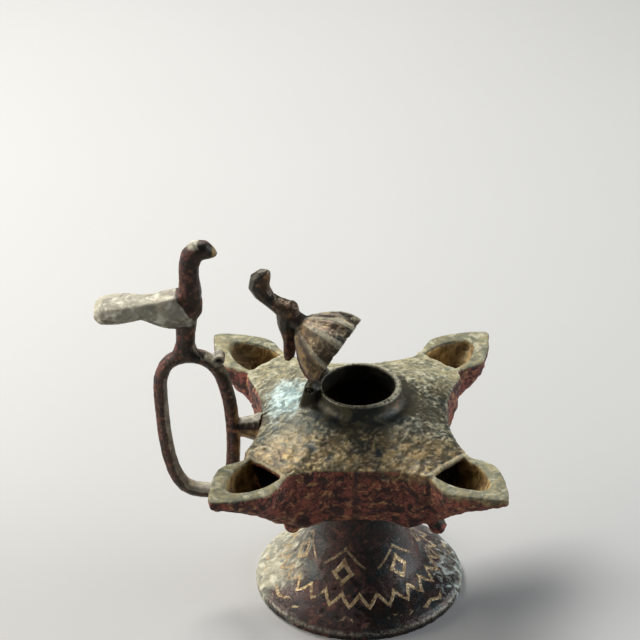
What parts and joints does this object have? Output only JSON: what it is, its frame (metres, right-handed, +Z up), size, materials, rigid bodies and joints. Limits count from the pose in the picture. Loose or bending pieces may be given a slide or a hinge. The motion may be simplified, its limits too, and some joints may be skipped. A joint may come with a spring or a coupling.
{
  "type": "oil lamp",
  "caption": "Cast copper alloy oil lamp: open wick spouts on a footed reservoir, a loop handle with a bird, and a fluted hinged lid over the filling collar.",
  "frame": {"origin": "the middle of the standing plane: under the centre of the overall box, where the foot stands", "axes": "+Z up from the foot to the collar, +X from the loop handle across the collar, +Y toward the back pair of spouts"},
  "size_m": [0.1766, 0.1351, 0.1771],
  "materials": {
    "foot_bronze": "dark brown to greenish black patina, half gloss, with a worn cream-coloured inlay band",
    "reservoir_bronze": "corroded: pale grey-green crust on top, red-brown underside",
    "handle_bronze": "dark maroon-brown patina with worn copper-red edges",
    "lid_bronze": "brown-gold patina with paler ribs",
    "pin_bronze": "dark patina"
  },
  "bodies": {
    "lamp": {"reservoir": "reservoir_bronze", "foot": "foot_bronze", "handle": "handle_bronze", "hinge_pin": "pin_bronze"},
    "lid": {"lid": "lid_bronze"}
  },
  "joints": [
    {"name": "lid_hinge", "type": "hinge", "parent": "lamp", "child": "lid", "pos_m": [0.00645, 0.00455, 0.1068], "axis": [0.2449, 0.947, 0.2079], "range_deg": [0, 59.5]}
  ]
}
